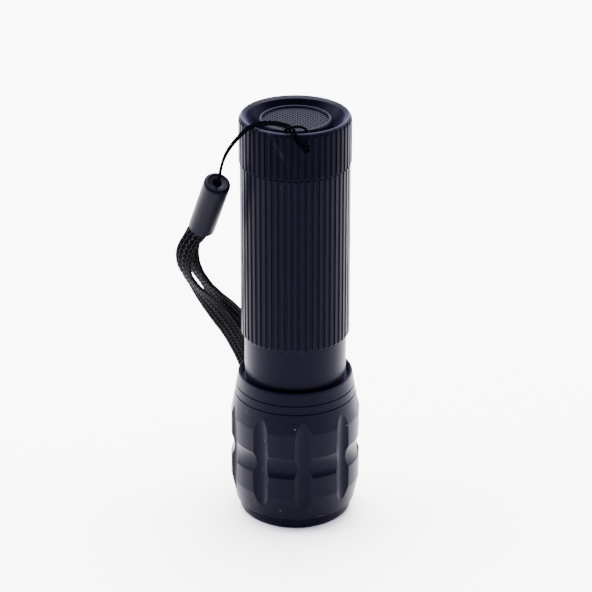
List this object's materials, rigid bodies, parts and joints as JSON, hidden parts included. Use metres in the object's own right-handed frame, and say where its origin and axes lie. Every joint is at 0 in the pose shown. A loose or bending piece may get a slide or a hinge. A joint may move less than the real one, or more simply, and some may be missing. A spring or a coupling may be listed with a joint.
{
  "type": "zoom flashlight",
  "caption": "Small aluminium zoom flashlight with a sliding fluted head, ribbed battery barrel, push button tail cap and wrist lanyard.",
  "frame": {"origin": "centre of the bezel's front face, which the light stands on", "axes": "+Z from the lens to the tail button; -Y is the side with the lanyard hole"},
  "size_m": [0.0437, 0.1205, 0.1043],
  "materials": {
    "anodised": "satin black anodised",
    "bezel_black": "satin black anodised",
    "neck_black": "smooth black anodised",
    "boot_rubber": "matt black rubber",
    "seal_rubber": "greased black rubber",
    "lens_clear": "clear polished acrylic",
    "spring_steel": "bright spring steel",
    "brass": "turned brass",
    "board_white": "white solder mask on aluminium",
    "led_yellow": "yellow phosphor",
    "led_dome": "clear silicone",
    "board_green": "green solder mask",
    "wire_red": "silicone wire",
    "holder_plastic": "black moulded plastic",
    "nickel": "nickel plate",
    "cell_can": "nickel-plated can",
    "cell_wrap": "printed plastic film, plain",
    "switch_plastic": "white moulded plastic",
    "cord_black": "black nylon cord",
    "strap_black": "black braided nylon",
    "ferrule_plastic": "satin black plastic"
  },
  "bodies": {
    "barrel": {"barrel": "neck_black", "neck_oring": "seal_rubber", "stop_ring": "spring_steel", "led_pill": "brass", "led_star": "board_white", "led_emitter": "led_yellow", "led_dome": "led_dome", "driver_board": "board_green", "driver_spring": "spring_steel", "led_wires": "wire_red"},
    "head": {"zoom_head": "anodised", "bezel_ring": "bezel_black", "lens": "lens_clear", "lens_gasket": "seal_rubber"},
    "cartridge": {"holder_front": "holder_plastic", "holder_rear": "holder_plastic", "holder_ribs": "holder_plastic", "front_contact": "brass", "rear_contact": "brass", "link_strips": "nickel", "cell_springs": "spring_steel", "aaa_cell_1": "cell_can", "aaa_cell_2": "cell_can", "aaa_cell_3": "cell_can", "cell_wrap_1": "cell_wrap", "cell_wrap_2": "cell_wrap", "cell_wrap_3": "cell_wrap"},
    "cap_carrier": {"cap_oring": "seal_rubber"},
    "tail_cap": {"tail_cap": "anodised", "button_boot": "boot_rubber", "switch_housing": "switch_plastic", "switch_spring": "spring_steel", "switch_board": "board_green", "switch_retainer": "brass", "tail_spring": "spring_steel", "lanyard_cord": "cord_black", "lanyard_ferrule": "ferrule_plastic", "lanyard_strap": "strap_black"},
    "button": {"switch_plunger": "switch_plastic"}
  },
  "joints": [
    {"name": "head_zoom", "type": "slide", "parent": "barrel", "child": "head", "axis": [0, 0, 1], "range_m": [0, 0.01]},
    {"name": "cartridge_slide", "type": "slide", "parent": "barrel", "child": "cartridge", "axis": [0, 0, 1], "range_m": [0, 0.06]},
    {"name": "cap_advance", "type": "slide", "parent": "cartridge", "child": "cap_carrier", "axis": [0, 0, 1], "range_m": [0, 0.00469]},
    {"name": "cap_turn", "type": "hinge", "parent": "cap_carrier", "child": "tail_cap", "pos_m": [0, 0, 0.0908], "axis": [0, 0, 1], "range_deg": [0, 1350]},
    {"name": "button_press", "type": "slide", "parent": "tail_cap", "child": "button", "axis": [0, 0, -1], "range_m": [0, 0.0015], "stiffness_N_per_m": 2000, "springref_m": -0.0005, "deforming": ["button_boot", "switch_spring"]}
  ],
  "couplings": [
    {"joint": "cap_advance", "follows": "cap_turn", "m_per_rad": 0.00019894}
  ]
}
